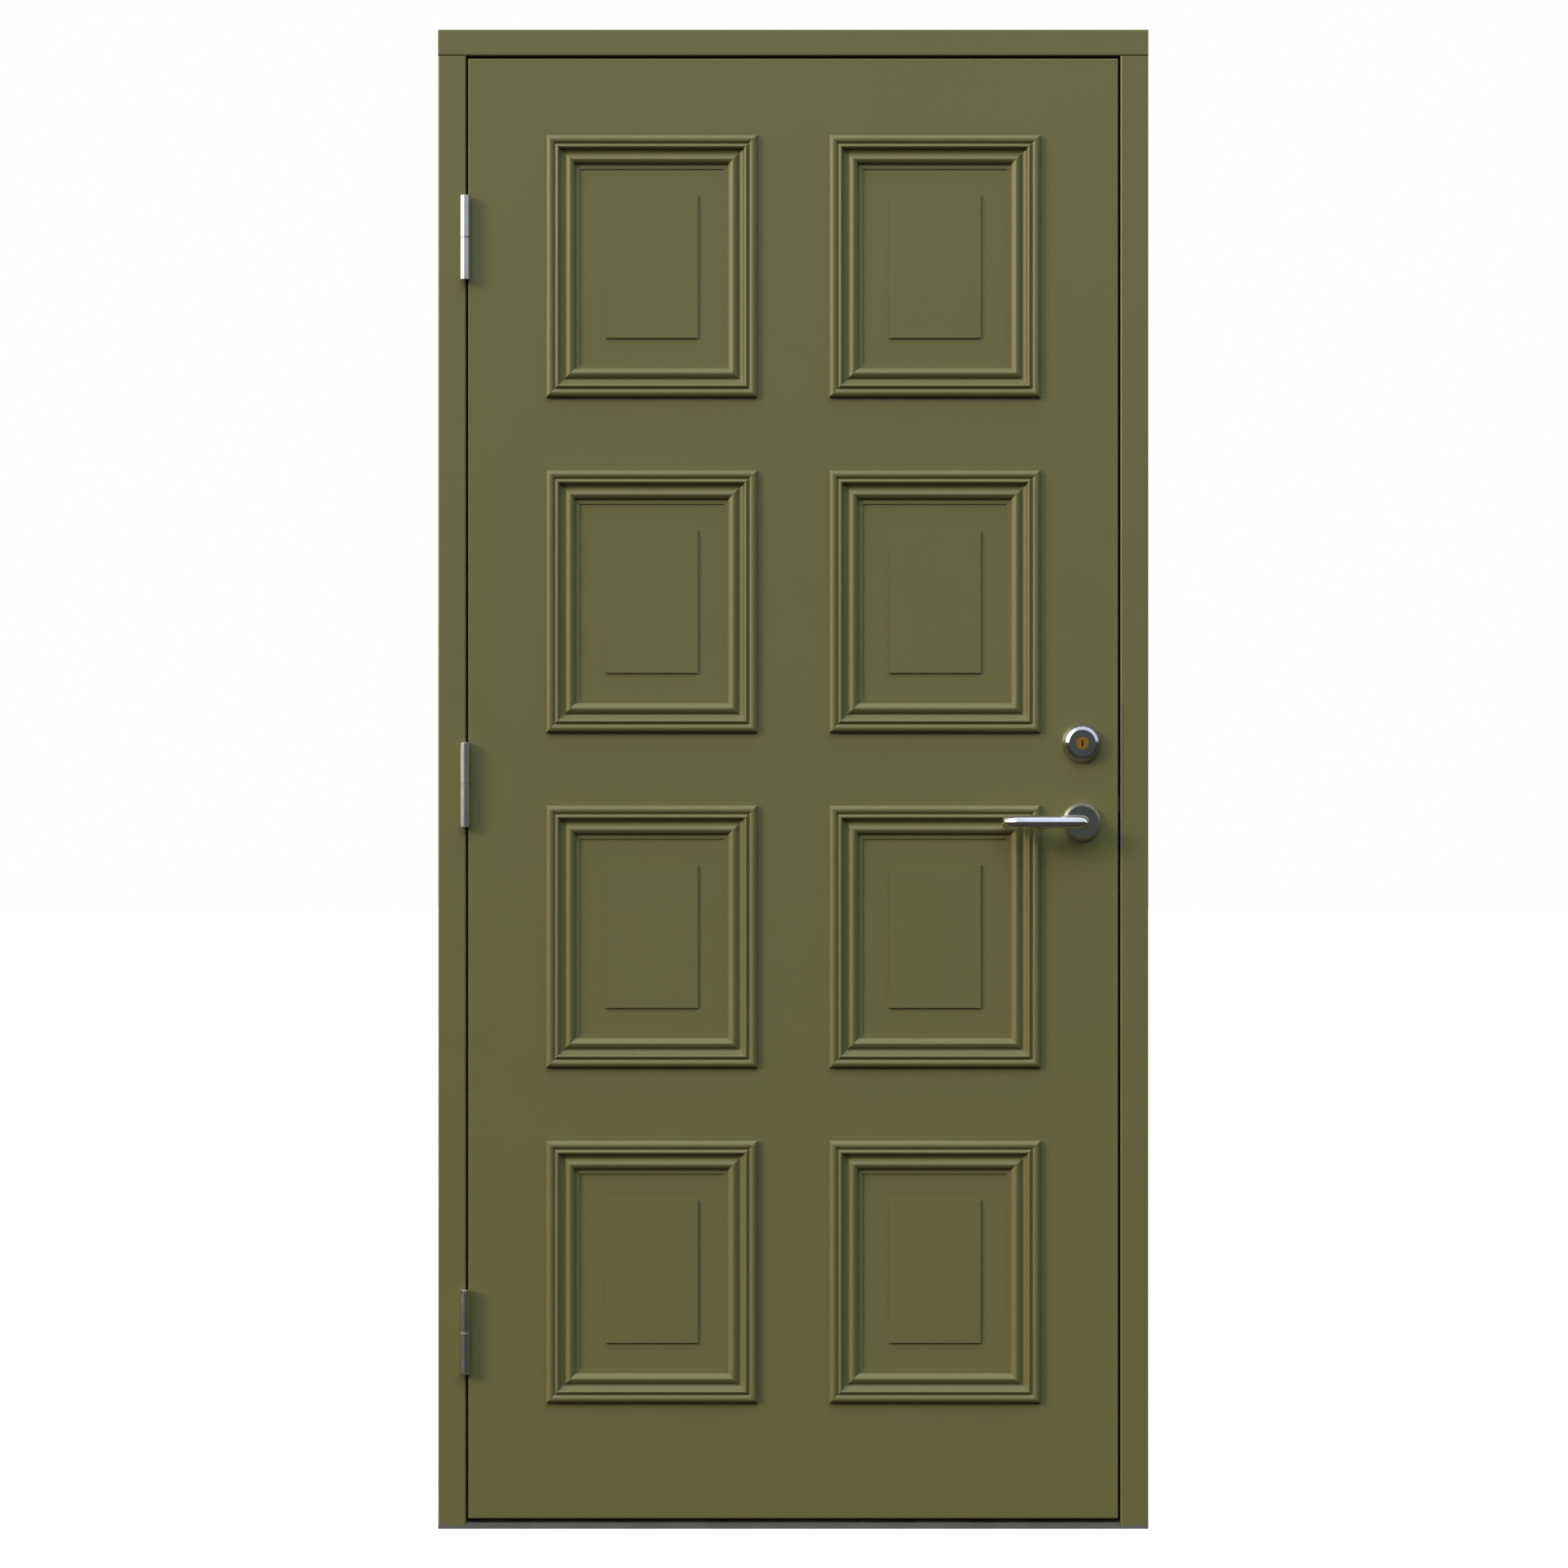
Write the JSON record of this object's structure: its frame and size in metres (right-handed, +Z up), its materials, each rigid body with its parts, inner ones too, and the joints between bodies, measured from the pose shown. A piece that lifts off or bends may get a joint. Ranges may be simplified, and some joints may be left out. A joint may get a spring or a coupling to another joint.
{
  "type": "panelled front door with frame",
  "caption": "Painted front door leaf with planted panel mouldings, hung on lift-off hinges in a rebated timber frame with threshold, mortise lock and lever handles.",
  "frame": {"origin": "underside of the threshold, at the middle of the frame's width and depth", "axes": "+X to the right seen from outside, +Y from outside to inside, +Z up"},
  "size_m": [0.99, 0.165, 2.09],
  "materials": {
    "painted_frame": "satin olive paint on profiled softwood",
    "painted_leaf": "satin olive paint on dense fibreboard",
    "core_timber": "planed laminated softwood with painted edges",
    "foam": "rigid insulation foam",
    "oiled_hardwood": "oiled hardwood",
    "threshold_metal": "mill-finish extrusion",
    "seal_rubber": "soft black rubber",
    "polished_hinge": "polished plated steel",
    "hardened_steel": "ground steel",
    "bearing_steel": "turned steel",
    "zinc_screw": "zinc-plated steel",
    "lock_steel": "satin steel",
    "polished_handle": "polished stainless steel",
    "polished_cylinder": "polished plated brass",
    "plug_brass": "brushed brass"
  },
  "bodies": {
    "frame": {"frame_head": "painted_frame", "hinge_jamb": "painted_frame", "lock_jamb": "painted_frame", "fixing_sleeves": "lock_steel", "threshold_plate": "threshold_metal", "threshold_tread": "threshold_metal", "threshold_sill": "oiled_hardwood", "perimeter_seal": "seal_rubber", "sill_seal": "seal_rubber", "strike_plate": "lock_steel", "strike_screws": "zinc_screw", "top_hinge_frame_half": "polished_hinge", "middle_hinge_frame_half": "polished_hinge", "bottom_hinge_frame_half": "polished_hinge", "hinge_pins": "hardened_steel", "frame_hinge_screws": "zinc_screw"},
    "leaf": {"hinge_stile": "core_timber", "lock_stile": "core_timber", "rails": "core_timber", "insulation_core": "foam", "outer_skin": "painted_leaf", "inner_skin": "painted_leaf", "moulding_frame_1_1": "painted_leaf", "moulding_frame_1_2": "painted_leaf", "moulding_frame_2_1": "painted_leaf", "moulding_frame_2_2": "painted_leaf", "moulding_frame_3_1": "painted_leaf", "moulding_frame_3_2": "painted_leaf", "moulding_frame_4_1": "painted_leaf", "moulding_frame_4_2": "painted_leaf", "panel_board_1_1": "painted_leaf", "panel_board_1_2": "painted_leaf", "panel_board_2_1": "painted_leaf", "panel_board_2_2": "painted_leaf", "panel_board_3_1": "painted_leaf", "panel_board_3_2": "painted_leaf", "panel_board_4_1": "painted_leaf", "panel_board_4_2": "painted_leaf", "top_hinge_leaf_half": "polished_hinge", "middle_hinge_leaf_half": "polished_hinge", "bottom_hinge_leaf_half": "polished_hinge", "hinge_bearings": "bearing_steel", "leaf_hinge_screws": "zinc_screw", "lock_case": "lock_steel", "forend": "lock_steel", "forend_screws": "zinc_screw", "outer_lever_rose": "polished_handle", "inner_lever_rose": "polished_handle", "cylinder_rose": "polished_cylinder", "cylinder_housing": "polished_cylinder", "thumbturn_rose": "polished_handle"},
    "handle": {"outer_lever": "polished_handle", "inner_lever": "polished_handle", "spindle": "hardened_steel", "latch_follower": "hardened_steel"},
    "latch": {"latch_bolt": "hardened_steel"},
    "turn": {"cylinder_plug": "plug_brass", "bolt_cam": "hardened_steel", "thumbturn": "polished_handle"},
    "bolt": {"deadbolt": "hardened_steel"}
  },
  "joints": [
    {"name": "leaf_swing", "type": "hinge", "parent": "frame", "child": "leaf", "pos_m": [-0.457, -0.065, 0], "axis": [0, 0, -1], "range_deg": [0, 170]},
    {"name": "lever_turn", "type": "hinge", "parent": "leaf", "child": "handle", "pos_m": [0.402, 0, 0.985], "axis": [0, -1, 0], "range_deg": [0, 45], "stiffness_Nm_per_rad": 1.2, "springref_deg": -28.65},
    {"name": "latch_slide", "type": "slide", "parent": "leaf", "child": "latch", "axis": [-1, 0, 0], "range_m": [0, 0.0125]},
    {"name": "thumbturn_turn", "type": "hinge", "parent": "leaf", "child": "turn", "pos_m": [0.402, 0, 1.095], "axis": [0, 1, 0], "range_deg": [0, 90]},
    {"name": "deadbolt_slide", "type": "slide", "parent": "leaf", "child": "bolt", "axis": [1, 0, 0], "range_m": [0, 0.02]}
  ],
  "couplings": [
    {"joint": "latch_slide", "follows": "lever_turn", "m_per_rad": 0.0159},
    {"joint": "thumbturn_turn", "follows": "deadbolt_slide", "rad_per_m": 78.54}
  ]
}
